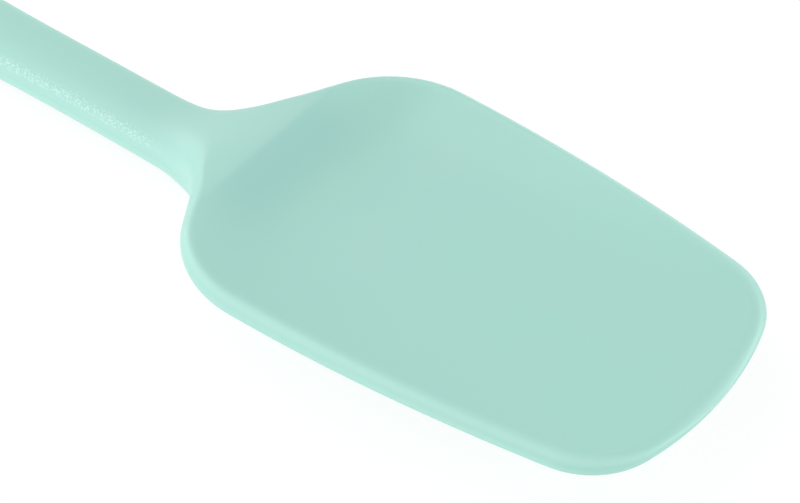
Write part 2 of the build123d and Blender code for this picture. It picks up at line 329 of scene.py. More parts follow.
def point(vector):
    """A plan point as the three numbers of a vector socket."""
    return (vector.x, vector.y, 0)


SIZES.update({
    "End Arc Centre": point(end_center),
    "End Arc Radius": end_radius,
    "End Meets Corner": point(touch(end_center, end_radius, corner_center)),
    "Corner Arc Centre": point(corner_center),
    "Corner Arc Radius": corner_radius,
    "Corner Meets Side": point(touch(side_center, side_radius, corner_center)),
    "Side Arc Centre": point(side_center),
    "Side Arc Radius": side_radius,
    "Side Meets Shoulder": point(touch(side_center, side_radius, shoulder_center)),
    "Shoulder Arc Centre": point(shoulder_center),
    "Shoulder Arc Radius": shoulder_radius,
    "Shoulder Meets Flank": point(shoulder_center - inward * shoulder_radius),
    "Flank Point": point(flank_point),
    "Flank Direction": point(flank),
    "Flank Meets Hollow": point(hollow_center + inward * hollow_radius),
    "Hollow Arc Centre": point(hollow_center),
    "Hollow Arc Radius": hollow_radius,
})
print("shoulder about", [round(value / mm, 2) for value in shoulder_center], "mm")
print("hollow about", [round(value / mm, 2) for value in hollow_center], "mm")

# %% [markdown]
# ## Writing a node tree like a formula
# A form like this is a set of height rules: for each place in the plan, how high is the top and how
# low the underside. Wiring some hundreds of Math nodes by hand would hide those rules. So a small
# class stands for the output of a node, and adding or multiplying two of them places the Math node
# that does it. A decorator turns each rule into a node group of its own with named inputs. Any size
# that a rule asks for by name becomes an input of its group, and of every tree that uses it, up to
# the modifier.

# %% A value in the tree in hand
trees_in_hand = []


class Field:
    """The output of a node, with arithmetic."""

    def __init__(self, node, output=0):
        self.node = node
        self.output = output

    def __add__(self, other):
        return maths("ADD", self, other)

    def __sub__(self, other):
        return maths("SUBTRACT", self, other)

    def __rsub__(self, other):
        return maths("SUBTRACT", other, self)

    def __mul__(self, other):
        return maths("MULTIPLY", self, other)

    def __truediv__(self, other):
        return maths("DIVIDE", self, other)

    def __rtruediv__(self, other):
        return maths("DIVIDE", other, self)

    def __pow__(self, other):
        return maths("POWER", self, other)

    __radd__ = __add__
    __rmul__ = __mul__


def place(kind):
    """A new node in the tree in hand."""
    return trees_in_hand[-1].nodes.new(kind)


def feed(socket, value):
    """Link a field to a socket, or set a plain value on it."""
    if isinstance(value, Field):
        trees_in_hand[-1].links.new(value.node.outputs[value.output], socket)
    else:
        socket.default_value = value


def maths(operation, *values):
    """The output of a Math node."""
    node = place("ShaderNodeMath")
    node.operation = operation
    for socket, value in zip(node.inputs, values):
        feed(socket, value)
    return Field(node)


def split(vector):
    """The X and Y of a vector field."""
    node = place("ShaderNodeSeparateXYZ")
    feed(node.inputs[0], vector)
    return Field(node, 0), Field(node, 1)


# %% Sizes as inputs, and rules as node groups
SOCKETS = {float: "NodeSocketFloat", int: "NodeSocketInt", tuple: "NodeSocketVector"}
TINY = 0.000001    # keeps a division from dividing by nothing


def new_tree(title, kind="GeometryNodeTree"):
    """An empty node group with its input and output nodes."""
    tree = bpy.data.node_groups.new(title, kind)
    tree.nodes.new("NodeGroupInput").name = "Source"
    tree.nodes.new("NodeGroupOutput").name = "Result"
    return tree


def size(name):
    """A named size as an input of the tree in hand, which gets it when it is first asked for."""
    tree = trees_in_hand[-1]
    if name not in [item.name for item in tree.interface.items_tree]:
        value = SIZES[name]
        kind = SOCKETS[type(value)]
        tree.interface.new_socket(name, in_out="INPUT", socket_type=kind).default_value = value
    return Field(tree.nodes["Source"], name)


def rule(title, *names):
    """Turn a formula into a node group that is placed wherever the formula is called."""

    def build(formula):
        tree = new_tree(title)
        for name in names:
            tree.interface.new_socket(name, in_out="INPUT", socket_type=SOCKETS[float])
        tree.interface.new_socket("Value", in_out="OUTPUT", socket_type=SOCKETS[float])
        trees_in_hand.append(tree)
        result = formula(*[Field(tree.nodes["Source"], name) for name in names])
        feed(tree.nodes["Result"].inputs[0], result)
        trees_in_hand.pop()
        asked = [item.name for item in tree.interface.items_tree if item.in_out == "INPUT"]

        def call(*values):
            node = place("GeometryNodeGroup")
            node.node_tree = tree
            for name, value in zip(names, values):
                feed(node.inputs[name], value)
            for name in asked[len(names):]:
                feed(node.inputs[name], size(name))
            return Field(node)

        return call

    return build


# %% Small rules that the others use
def least(a, b):
    return maths("MINIMUM", a, b)


def most(a, b):
    return maths("MAXIMUM", a, b)


def clamp(a):
    """Kept between 0 and 1."""
    return least(most(a, 0.0), 1.0)


def root(a):
    return maths("SQRT", a)


def below(a, limit):
    """1 where a is less than the limit, and 0 elsewhere."""
    return maths("LESS_THAN", a, limit)


def pick(test, yes, no):
    """One value where the test is 1 and the other where it is 0, or a mix in between."""
    return no + (yes - no) * test


@rule("Smooth Step", "Share")
def smooth(share):
    """An even S from 0 to 1, flat at both ends."""
    t = clamp(share)
    return t * t * t * (10.0 - 15.0 * t + 6.0 * t * t)


@rule("Blend", "Start", "End", "Share")
def blend(start, end, share):
    """From start to end along the even S."""
    return start + (end - start) * smooth(share)


@rule("Quarter Round", "Share", "Exponent")
def quarter(share, exponent):
    """A rounded edge: 0 at the outline and 1 where the rounding ends."""
    return (1.0 - (1.0 - clamp(share)) ** exponent) ** (1.0 / exponent)


print("rules so far:", [tree.name for tree in bpy.data.node_groups])

# %% [markdown]
# ## Rules of the plan
# The first set of rules gives the outline: half the width at each place along the length, and how
# far a point of the plan lies inside the outline. The second is what lets the rim's rounding follow
# the outline evenly, also round the corners, where a share of the width would pinch it.

# %% Places along the length
def crest_place():
    return size("Total Length") / 2.0 - size("Head Length")


def neck_place():
    return crest_place() - size("Neck From Crest")


def end_place():
    return size("Total Length") * -0.5


@rule("Climb Share", "X", "Start", "End")
def climb_share(x, start, end):
    """0 at start before the crest and 1 at end past it."""
    return (x - crest_place() + start) / (start + end)


@rule("End Share", "X")
def end_share(x):
    """1 along the handle, falling to 0 at its rounded end."""
    return quarter((x - end_place()) / size("End Round Length"), size("Nose Roundness"))


@rule("Grip Share", "X")
def grip_share(x):
    """0 at the neck and 1 where the grip has its full width."""
    flare_start = neck_place() - size("Flare From Neck")
    flare_end = end_place() + size("Full Grip From End")
    return smooth((flare_start - x) / (flare_start - flare_end))


# %% Half the width of the outline
def below_point(x, name):
    """1 where x lies nearer to the handle's end than a named point of the plan."""
    return below(x, split(size(name))[0])


@rule("Arc Side", "X", "Centre X", "Centre Y", "Radius", "Side")
def arc_side(x, centre_x, centre_y, radius, side):
    """Y of a circle at x, on its upper side for 1 and its lower side for -1."""
    return centre_y + side * root(most(radius * radius - (x - centre_x) * (x - centre_x), 0.0))


@rule("Half Width", "X")
def half_width(x):
    """Half the outline's width: each arc in turn, from the tip back to the handle."""
    def side_of(name, side=1.0):
        centre_x, centre_y = split(size(name + " Arc Centre"))
        return arc_side(x, centre_x, centre_y, size(name + " Arc Radius"), side)

    width = side_of("End")
    limits = {
        "Corner": "End Meets Corner",
        "Side": "Corner Meets Side",
        "Shoulder": "Side Meets Shoulder",
    }
    for arc, limit in limits.items():
        width = pick(below_point(x, limit), side_of(arc), width)
    flank_x, flank_y = split(size("Flank Point"))
    along_x, along_y = split(size("Flank Direction"))
    straight = flank_y + (x - flank_x) * along_y / along_x
    width = pick(below_point(x, "Shoulder Meets Flank"), straight, width)
    width = pick(below_point(x, "Flank Meets Hollow"), side_of("Hollow", -1.0), width)
    handle = size("Neck Width") + (size("Grip Width") - size("Neck Width")) * grip_share(x)
    return pick(below_point(x, "Hollow Arc Centre"), handle / 2.0 * end_share(x), width)


# %% Depth inside the straight flank and the hollow
FAR = 1.0    # a metre, for points that an arc or line doesn't face


@rule("Flank Distance", "X", "Y")
def flank_distance(x, y):
    """From the straight flank, for points beside it."""
    flank_x, flank_y = split(size("Flank Point"))
    along_x, along_y = split(size("Flank Direction"))

    def along(point_x, point_y):
        return (point_x - flank_x) * along_x + (point_y - flank_y) * along_y

    here = along(x, y)
    before = below(here, along(*split(size("Flank Meets Hollow"))))
    after = below(along(*split(size("Shoulder Meets Flank"))), here)
    outside = most(before, after)
    return pick(outside, FAR, (x - flank_x) * along_y - (y - flank_y) * along_x)


@rule("Hollow Distance", "X", "Y")
def hollow_distance(x, y):
    """From the hollow that leads into the neck, which curves the other way."""
    centre_x, centre_y = split(size("Hollow Arc Centre"))
    along_x, along_y = split(size("Flank Direction"))
    ray_x, ray_y = x - centre_x, y - centre_y
    beside = ray_x * along_x * -1.0 - ray_y * along_y
    depth = root(ray_x * ray_x + ray_y * ray_y) - size("Hollow Arc Radius")
    return pick(below(beside, 0.0), FAR, depth)


# %% Depth inside one arc
@rule(
    "Inside Arc", "X", "Y", "Centre X", "Centre Y", "Radius",
    "First X", "First Y", "Last X", "Last Y",
)
def inside_arc(x, y, centre_x, centre_y, radius, first_x, first_y, last_x, last_y):
    """Depth inside an arc, for points between the rays to its ends, and far for others."""
    ray_x, ray_y = x - centre_x, y - centre_y
    after = (first_x - centre_x) * ray_y - (first_y - centre_y) * ray_x
    before = ray_x * (last_y - centre_y) - ray_y * (last_x - centre_x)
    outside = below(least(after, before), 0.0)
    return pick(outside, FAR, radius - root(ray_x * ray_x + ray_y * ray_y))


# %% How far a point of the plan lies inside the outline
@rule("Edge Distance", "X", "Y")
def edge_distance(x, y):
    """From a point of the plan, with Y not negative, in to the outline."""
    def arc(name, first, last):
        centre = split(size(name + " Arc Centre"))
        return inside_arc(x, y, *centre, size(name + " Arc Radius"), *first, *split(size(last)))

    direct = half_width(x) - y
    near = least(direct, arc("End", (size("Total Length") / 2.0, 0.0), "End Meets Corner"))
    near = least(near, arc("Corner", split(size("End Meets Corner")), "Corner Meets Side"))
    near = least(near, arc("Side", split(size("Corner Meets Side")), "Side Meets Shoulder"))
    near = least(near, arc("Shoulder", split(size("Side Meets Shoulder")), "Shoulder Meets Flank"))
    near = least(near, flank_distance(x, y))
    near = least(near, hollow_distance(x, y))
    return most(pick(below_point(x, "Hollow Arc Centre"), direct, near), 0.0)


# %% [markdown]
# ## Rules of height
# Now the heights. The outermost edge of the skin is the mould's parting line, and it climbs from
# the middle of the handle to just under the rim. The ridge is the top of the middle line, and the
# keel is its lowest line. Between them lie the rounding of the edges and, on the head, the fall of
# the scoop.

# %% Heights along the length
@rule("Handle Underside", "X")
def handle_underside(x):
    """The neck is lifted a little, and the grip lies on the table."""
    return blend(size("Neck Lift"), 0.0, (neck_place() - x) / size("Neck Drop Length"))


@rule("Handle Thickness", "X")
def handle_thickness(x):
    swell = size("Grip Thickness") - size("Neck Thickness")
    return size("Neck Thickness") + swell * grip_share(x)


@rule("Edge Top", "X")
def edge_top(x):
    """From the outermost edge up to the rim."""
    share = (x - crest_place()) / size("Head Length")
    return blend(size("Edge Above Parting"), size("Tip Edge Above Parting"), share)


@rule("Edge Bottom", "X")
def edge_bottom(x):
    """From the outermost edge down to the underside of the lip."""
    share = (x - crest_place()) / size("Head Length")
    return blend(size("Edge Below Parting"), size("Tip Edge Below Parting"), share)


@rule("Parting Height", "X")
def parting_height(x):
    """Height of the outermost edge."""
    on_handle = handle_underside(x) + handle_thickness(x) / 2.0
    climb = climb_share(x, size("Parting Climb Start"), size("Parting Climb End"))
    return blend(on_handle, size("Rim Height") - edge_top(x), climb)


@rule("Ridge Height", "X")
def ridge_height(x):
    """Top of the middle line, without the scoop."""
    on_handle = handle_underside(x) + handle_thickness(x)
    climb = climb_share(x, size("Ramp Start"), size("Ramp End"))
    return blend(on_handle, size("Rim Height"), climb)


@rule("Keel Height", "X")
def keel_height(x):
    """Lowest line of the underside: it touches the table once, then climbs to the tip."""
    touch_x = crest_place() + size("Belly From Crest")
    neck = blend(handle_underside(x), 0.0, (x - neck_place()) / (touch_x - neck_place()))
    climb = most((x - touch_x) / (size("Total Length") / 2.0 - touch_x), 0.0)
    under_lip = size("Rim Height") - edge_top(x) - edge_bottom(x)
    blade = under_lip * climb ** size("Belly Rise")
    return pick(below(x, touch_x), neck, blade)


# %% The rounded edge and the scoop
@rule("Oval", "Share")
def oval(share):
    """Height across the handle's section: 1 in the middle and 0 at its side."""
    return (1.0 - least(share, 1.0) ** size("Grip Roundness")) ** (1.0 / size("Grip Roundness"))


@rule("Lip Share", "X")
def lip_share(x):
    """0 on the handle and 1 on the head, where the round neck has thinned out into the lip."""
    return climb_share(x, size("Lip Start"), 0.0)


@rule("Rounding", "X", "Y")
def rounding(x, y):
    """0 on the outline and 1 where its rounding ends, which on the head is just the lip."""
    share = lip_share(x)
    reach = blend(size("Neck Width") / 2.0, size("Lip Rounding"), share)
    exponent = blend(size("Grip Roundness"), size("Lip Roundness"), share)
    on_handle = oval(y / most(half_width(x), TINY))
    on_head = quarter(edge_distance(x, y) / reach, exponent)
    return pick(below(x, neck_place()), on_handle, on_head)


@rule("Scoop Fall", "X", "Y")
def scoop_fall(x, y):
    """How far the floor of the scoop lies below the rim."""
    inner = half_width(x) - size("Lip Width")
    start = crest_place() + size("Crest Flat")
    end = size("Total Length") / 2.0 - size("Lip Width")
    deepest = start + size("Scoop Wall Length")
    wall = clamp((x - start) / size("Scoop Wall Length"))
    fall = (1.0 - (1.0 - wall) ** size("Wall Steepness")) ** size("Wall Softness")
    climb = 1.0 - clamp((x - deepest) / (end - deepest)) ** size("Floor Rise")
    near = clamp(y / most(inner, TINY))
    across = (1.0 - near ** size("Scoop Flatness")) ** size("Scoop Softness")
    return size("Scoop Depth") * fall * climb * across


# %% The keel under the neck, which widens into the belly of the blade
@rule("Bell", "Place", "Reach", "Steepness")
def bell(place_across, reach, steepness):
    """1 in the middle, falling to nothing far beyond the reach."""
    return 1.0 / (1.0 + (place_across / reach) ** steepness)


@rule("Keel Share", "X", "Y")
def keel_share(x, y):
    """1 on the middle line of the underside and 0 at the outline."""
    half = most(half_width(x), TINY)
    across = least(y / half, 1.0)
    spread = climb_share(x, size("Lip Start"), size("Keel End"))
    belly_reach = size("Head Width") * size("Belly Reach Share")
    reach = blend(size("Keel Half Width"), belly_reach, spread)
    steepness = blend(size("Keel Steepness"), size("Belly Steepness"), spread)
    edge = bell(half, reach, steepness)
    keel = (bell(across * half, reach, steepness) - edge) / (1.0 - edge)
    belly = (1.0 - across * across) ** size("Belly Narrowness")
    under_head = blend(keel, belly, climb_share(x, 0.0, size("Keel End")))
    return blend(oval(across), under_head, lip_share(x))


@rule("Top Height", "X", "Y")
def top_height(x, y):
    raised = (ridge_height(x) - parting_height(x)) * end_share(x) * rounding(x, y)
    return parting_height(x) + raised - scoop_fall(x, y)


@rule("Bottom Height", "X", "Y")
def bottom_height(x, y):
    whole = parting_height(x) - keel_height(x)
    lip = blend(whole, edge_bottom(x), lip_share(x))
    keel = (whole - lip) * keel_share(x, y)
    return parting_height(x) - lip * end_share(x) * rounding(x, y) - keel


# %% [markdown]
# ## The skin as a folded sheet
# The tree starts from a flat grid, like a sheet of paper. Its rows become rings round the spatula.
# Each ring runs over the top from one edge to the other and back under the bottom, so the sheet is
# folded once and welded where it meets. Rings and points crowd together towards the rounded ends
# and edges, because a cosine spaces them, and that keeps the small roundings smooth without wasting
# faces on the long plain stretches.
#
# Round the hanging hole the rows and columns would cut the circle into steps. There the square
# block of points about the hole is eased into circles. The innermost circles go over the rounded
# mouth and down the wall to half the thickness, where the circle from above and the one from below
# are welded. Nothing has to be cut by a boolean, so the shading stays clean.

# %% Counts of the mesh
SIZES.update({
    "Rings": 521,
    "Points Across": 80,
    "Hole Block": 18,
    "Hole Spread Step": 0.3 * mm,
})
MID_WALL, TOP_WALL, MOUTH_END = 5.0, 7.0, 11.0    # circles of the hole block, outwards
NEARLY_ONE = 0.9999    # from here on a point lies on the outermost edge
WELD_DISTANCE = 0.0002 * mm
skin_tree = new_tree("Spoon Spatula Skin")
skin_sockets = skin_tree.interface
skin_sockets.new_socket("Skin", in_out="OUTPUT", socket_type="NodeSocketGeometry")
skin_sockets.new_socket("Material", in_out="INPUT", socket_type="NodeSocketMaterial")
trees_in_hand.append(skin_tree)


def nearest(a):
    """The nearest whole number."""
    return maths("ROUND", a)


def position():
    """X and Y of the points as they are now."""
    return split(Field(place("GeometryNodeInputPosition")))


# %% The flat grid, and where each of its points goes in the plan
grid = place("GeometryNodeMeshGrid")
grid.inputs["Size X"].default_value = 1
grid.inputs["Size Y"].default_value = 1
feed(grid.inputs["Vertices X"], size("Rings"))
feed(grid.inputs["Vertices Y"], size("Points Across") * 2.0 + 1.0)
row, column = position()
rings = size("Rings") - 1.0
across = size("Points Across")
ring = nearest((row + 0.5) * rings)
fold = nearest((column + 0.5) * across * 2.0) * 2.0 / across
turn = 1.0 - maths("ABSOLUTE", fold - 2.0)
is_top = below(fold, 2.0 + 0.5 / across)
ring_angle = ring / rings * math.pi
ring_x = end_place() + size("Total Length") * (1.0 - maths("COSINE", ring_angle)) / 2.0
ring_y = half_width(ring_x) * maths("SINE", turn * (math.pi / 2))

# %% The block of points about the hanging hole, eased into circles
hole_x = end_place() + size("Hole From End")
hole_angle = maths("ARCCOSINE", 1.0 - 2.0 * size("Hole From End") / size("Total Length"))
hole_ring = nearest(hole_angle / math.pi * rings)
rows_off = ring - hole_ring
columns_off = turn * across / 2.0
circle = most(maths("ABSOLUTE", rows_off), maths("ABSOLUTE", columns_off))
square_x = rows_off / most(circle, 1.0)
square_y = columns_off / most(circle, 1.0)
round_x = square_x * root(1.0 - square_y * square_y / 2.0)
round_y = square_y * root(1.0 - square_x * square_x / 2.0)
mouth_radius = size("Hole Radius") + size("Hole Mouth")
circle_radius = mouth_radius + most(circle - MOUTH_END, 0.0) * size("Hole Spread Step")
ease = clamp((circle - MOUTH_END) / (size("Hole Block") - MOUTH_END))
plan_x = pick(ease, ring_x, hole_x + round_x * circle_radius)
plan_y = pick(ease, ring_y, round_y * circle_radius)

# %% Lift each point to its height
y_out = maths("ABSOLUTE", plan_y)
faces_z = pick(is_top, top_height(plan_x, y_out), bottom_height(plan_x, y_out))
on_edge = below(NEARLY_ONE, maths("ABSOLUTE", turn))
surface_z = pick(on_edge, parting_height(plan_x), faces_z)
mouth_share = clamp((circle - TOP_WALL) / (MOUTH_END - TOP_WALL))
mouth_angle = mouth_share * (math.pi / 2)
drop = size("Hole Mouth") * (1.0 - maths("SINE", mouth_angle))
wall_z = surface_z + drop * (1.0 - 2.0 * is_top)
half_z = handle_underside(hole_x) + handle_thickness(hole_x) / 2.0
inward_step = size("Hole Mouth") * maths("COSINE", mouth_angle)
in_block = below(circle, MOUTH_END)
final_x = plan_x - round_x * inward_step * in_block
final_y = plan_y - round_y * inward_step * in_block
wall_share = clamp((circle - MID_WALL) / (TOP_WALL - MID_WALL))
final_z = pick(wall_share, wall_z, half_z)
sideways = half_width(plan_x) - y_out
upwards = surface_z - parting_height(plan_x)
seam = root(sideways ** 2.0 + upwards ** 2.0)

# %% Put the tree together
place_points = place("GeometryNodeSetPosition")
joined = place("ShaderNodeCombineXYZ")
for socket, value in zip(joined.inputs, (final_x, final_y, final_z)):
    feed(socket, value)


def store(geometry, name, value):
    """Keep a field on the mesh under a name, for a later step or a material."""
    node = place("GeometryNodeStoreNamedAttribute")
    node.data_type = "FLOAT"
    node.domain = "POINT"
    node.inputs["Name"].default_value = name
    feed(node.inputs["Geometry"], geometry)
    feed(node.inputs["Value"], value)
    return Field(node)


sheet = store(Field(grid), "circle", circle)
sheet = store(sheet, "seam", seam)
feed(place_points.inputs["Geometry"], sheet)
feed(place_points.inputs["Position"], Field(joined))
stored_circle = place("GeometryNodeInputNamedAttribute")
stored_circle.data_type = "FLOAT"
stored_circle.inputs["Name"].default_value = "circle"
opened = place("GeometryNodeDeleteGeometry")
feed(opened.inputs["Geometry"], Field(place_points))
feed(opened.inputs["Selection"], below(Field(stored_circle), MID_WALL - 0.5))
welded = place("GeometryNodeMergeByDistance")
feed(welded.inputs["Geometry"], Field(opened))
welded.inputs["Distance"].default_value = WELD_DISTANCE
smoothed = place("GeometryNodeSetShadeSmooth")
feed(smoothed.inputs["Geometry"], Field(welded))
realized = place("GeometryNodeRealizeInstances")
feed(realized.inputs["Geometry"], Field(smoothed))
painted = place("GeometryNodeSetMaterial")
feed(painted.inputs["Geometry"], Field(realized))
feed(painted.inputs["Material"], Field(skin_tree.nodes["Source"], "Material"))
feed(skin_tree.nodes["Result"].inputs[0], Field(painted))
trees_in_hand.pop()
print("skin tree:", len(skin_tree.nodes), "nodes,", len(skin_sockets.items_tree) - 1, "inputs")

# %% [markdown]
# ## From tree to plain mesh
# The tree hangs on an empty mesh as a modifier. Its inputs are set by each socket's identifier
# before anything asks for the result. The evaluated result is then copied into a mesh of its own
# and the modifier goes, so what is left is an ordinary object that an export can read.

# %% Run the tree and keep its mesh
def run_tree(name, tree, values):
    """The plain mesh that a tree makes from these inputs, as an object at the origin."""
    carrier = bpy.data.objects.new(name, bpy.data.meshes.new(name + "_start"))
    bpy.context.scene.collection.objects.link(carrier)
    modifier = carrier.modifiers.new(name, "NODES")
    modifier.node_group = tree
    for item in tree.interface.items_tree:
        if item.in_out == "INPUT":
            modifier[item.identifier] = values[item.name]
    shown = carrier.evaluated_get(bpy.context.evaluated_depsgraph_get())
    mesh = bpy.data.meshes.new_from_object(shown)
    carrier.modifiers.clear()
    carrier.data = mesh
    mesh.name = name
    mesh.materials.clear()
    mesh.materials.append(values["Material"])
    mesh.polygons.foreach_set("material_index", [0] * len(mesh.polygons))
    return carrier


skin_material = new_material("mint_silicone")
SIZES["Material"] = skin_material
skin = run_tree("silicone_skin_form", skin_tree, SIZES)
print("skin:", len(skin.data.vertices), "vertices,", len(skin.data.polygons), "faces")

# %% [markdown]
# ## Effects that the finishes share
# Each material below is a Principled BSDF fed by small effects: grain that stands for a blasted
# mould or a rolled sheet, soft clouds of colour, and bright rubbed edges. An effect is a shader
# node group with named inputs, built once. It only gives out colours, masks and heights, and each
# material decides with its own values how strong they are.

# %% A shader group from a recipe
def socket_kind(value):
    """The socket type for a plain value: four numbers are a colour, three a vector."""
    if isinstance(value, tuple):
        return "NodeSocketColor" if len(value) == 4 else "NodeSocketVector"
    return "NodeSocketFloat"


def effect(title, inputs, outputs):
    """Turn a recipe into a shader node group, and each call of it into a node of that group."""

    def build(recipe):
        tree = new_tree(title, "ShaderNodeTree")
        for name, value in inputs.items():
            kind = socket_kind(value)
            tree.interface.new_socket(name, in_out="INPUT", socket_type=kind).default_value = value
        for name, value in outputs.items():
            tree.interface.new_socket(name, in_out="OUTPUT", socket_type=socket_kind(value))
        trees_in_hand.append(tree)
        made = recipe(*[Field(tree.nodes["Source"], name) for name in inputs])
        for name, value in zip(outputs, made):
            feed(tree.nodes["Result"].inputs[name], value)
        trees_in_hand.pop()

        def call(values):
            node = place("ShaderNodeGroup")
            node.node_tree = tree
            node.label = title
            for name, value in values.items():
                feed(node.inputs[name], value)
            return {name: Field(node, name) for name in outputs}

        return call

    return build


# %% Small helpers for shader trees
def noise(vector, scale, detail=2.0, roughness=0.5):
    node = place("ShaderNodeTexNoise")
    settings = {"Vector": vector, "Scale": scale, "Detail": detail, "Roughness": roughness}
    for name, value in settings.items():
        feed(node.inputs[name], value)
    return Field(node, 0)


def ramp(value, low, high):
    """0 at low and 1 at high, smoothly and clamped."""
    node = place("ShaderNodeMapRange")
    node.interpolation_type = "SMOOTHSTEP"
    numbers = {"Value": value, "From Min": low, "From Max": high}
    for name, number in numbers.items():
        feed(node.inputs[name], number)
    return Field(node, 0)


def band(value, edges, origin=0.0):
    """Rises between the first two edges and falls between the last two, in mm from an origin."""
    rise_start, rise_end, fall_start, fall_end = [origin + edge * mm for edge in edges]
    return ramp(value, rise_start, rise_end) * ramp(value, fall_end, fall_start)


def mix_color(share, first, second):
    """From the first colour to the second, by the numbers of a Mix node's colour sockets."""
    node = place("ShaderNodeMix")
    node.data_type = "RGBA"
    for index, value in ((0, share), (6, first), (7, second)):
        feed(node.inputs[index], value)
    return Field(node, 2)


def object_place():
    return Field(place("ShaderNodeTexCoord"), "Object")


def stretched(vector, factors):
    """The vector with each axis scaled."""
    node = place("ShaderNodeVectorMath")
    node.operation = "MULTIPLY"
    feed(node.inputs[0], vector)
    feed(node.inputs[1], factors)
    return Field(node)


# %% The effects
COARSE_SHARE, FINE_SHARE = 0.85, 0.15
FINER = 2.7                  # how much smaller the fine grain is
SPECK_RANGE = (0.52, 0.58)   # of the coarse grain's height
WEAR_SCALE = 900.0           # patches of wear per metre
POLISH = 0.08                # what rubbing takes off the roughness
WHITE = (1.0, 1.0, 1.0, 1.0)


@effect(
    "Fine Grain",
    {"Vector": (0.0, 0.0, 0.0), "Grain Size": 0.3 * mm, "Sharpness": 0.5},
    {"Height": 0.0, "Specks": 0.0},
)
def fine_grain(vector, grain_size, sharpness):
    """Pits and peaks of a blasted or etched surface."""
    per_metre = 1.0 / grain_size
    coarse = noise(vector, per_metre, 2.0, sharpness)
    fine = noise(vector, per_metre * FINER, 1.0, sharpness)
    return coarse * COARSE_SHARE + fine * FINE_SHARE, ramp(coarse, *SPECK_RANGE)


@effect(
    "Soft Clouds",
    {
        "Vector": (0.0, 0.0, 0.0),
        "Cloud Size": 20 * mm,
        "First Color": WHITE,
        "Second Color": WHITE,
    },
    {"Color": WHITE, "Cloud": 0.0},
)
def soft_clouds(vector, cloud_size, first_color, second_color):
    """Slow drifts of colour, as pigment and handling leave."""
    drifts = noise(vector, 1.0 / cloud_size, detail=3.0, roughness=0.55)
    cloud = ramp(drifts, 0.3, 0.7)
    return mix_color(cloud, first_color, second_color), cloud


@effect("Rubbed Edges", {"Edge Width": 0.3 * mm, "Vector": (0.0, 0.0, 0.0)}, {"Rubbed": 0.0})
def rubbed_edges(edge_width, vector):
    """Where a rounded copy of the surface turns away from the true one, broken up by noise."""
    rounded = place("ShaderNodeBevel")
    feed(rounded.inputs["Radius"], edge_width)
    dot = place("ShaderNodeVectorMath")
    dot.operation = "DOT_PRODUCT"
    feed(dot.inputs[0], Field(rounded))
    feed(dot.inputs[1], Field(place("ShaderNodeNewGeometry"), "Normal"))
    edge = ramp(Field(dot, "Value"), 0.98, 0.75)
    return (edge * ramp(noise(vector, WEAR_SCALE), 0.35, 0.6),)


groups = bpy.data.node_groups
print("effects:", [tree.name for tree in groups if tree.bl_idname == "ShaderNodeTree"])

# %% [markdown]
# ## The silicone
# The blade is satin, as from a polished and lightly etched mould. The handle has the fine grain of
# a blasted one, which a wet hand can hold, and it fades out at the neck. The pigment is a pale
# mint. Three tints are painted light and shade, where lamps alone gave less: a painted glint
# on the grain's peaks along the grip's upper shoulders, a painted shade in the fold just behind
# the crest and a painted highlight on the thin lip. A hair-fine line along the outermost edge
# stands for the join of the mould's halves, and the tree above stored each point's distance
# from it.

# %% Mint silicone
def principled(material, constants):
    """A Principled BSDF joined to the material's output, with its plain values set."""
    nodes, links = material.node_tree.nodes, material.node_tree.links
    shader = nodes.new("ShaderNodeBsdfPrincipled")
    links.new(shader.outputs[0], nodes["Surface"].inputs["Surface"])
    for name, value in constants.items():
        shader.inputs[name].default_value = value
    return shader


def bump(height, strength, distance):
    """The normals of a height that isn't in the mesh."""
    node = place("ShaderNodeBump")
    feed(node.inputs["Height"], height)
    node.inputs["Strength"].default_value = strength
    node.inputs["Distance"].default_value = distance
    return Field(node)


def dressing(recipe):
    """A recipe that works with the material's own tree in hand."""

    def dress(material):
        trees_in_hand.append(material.node_tree)
        recipe(material)
        trees_in_hand.pop()

    return dress


# %% Where the silicone changes, and to what colour
FOLD_FROM_CREST = (3.0, 4.4, 7, 16)    # four edges of a band, in mm
SHOULDER_FROM_EDGE = (1.0, 2.1, 2.6, 4.0)
LIP_FROM_EDGE = (0.8, 1.8, 1.9, 3.6)
LINE_WIDTH = (0.12 * mm, 0.02 * mm)    # low and high of a ramp
FOLD_ACROSS = (22 * mm, 7 * mm)
BLASTED_ALONG = (40 * mm, 30 * mm)
SHOULDER_HEIGHT = (6.0 * mm, 6.8 * mm)
LIP_ALONG = (crest_x, crest_x + 15 * mm)
GRIP_ROUGHNESS, BLADE_ROUGHNESS = 0.47, 0.42
MINT = (0.330, 0.593, 0.521, 1.0)
OTHER_MINT = (0.342, 0.589, 0.529, 1.0)
# painted shade: a darker mint for the fold just behind the crest
FOLD_PAINTED_SHADE = (0.283, 0.535, 0.490, 1.0)
# painted glints: a pale mint on the grain's peaks along the grip's upper shoulders
SHOULDER_PAINTED_GLINT = (0.80, 0.93, 0.90, 1.0)
# painted highlight: a paler mint on the thin lip
LIP_PAINTED_HIGHLIGHT = (0.392, 0.662, 0.592, 1.0)
LINE_MINT = (0.22, 0.47, 0.41, 1.0)


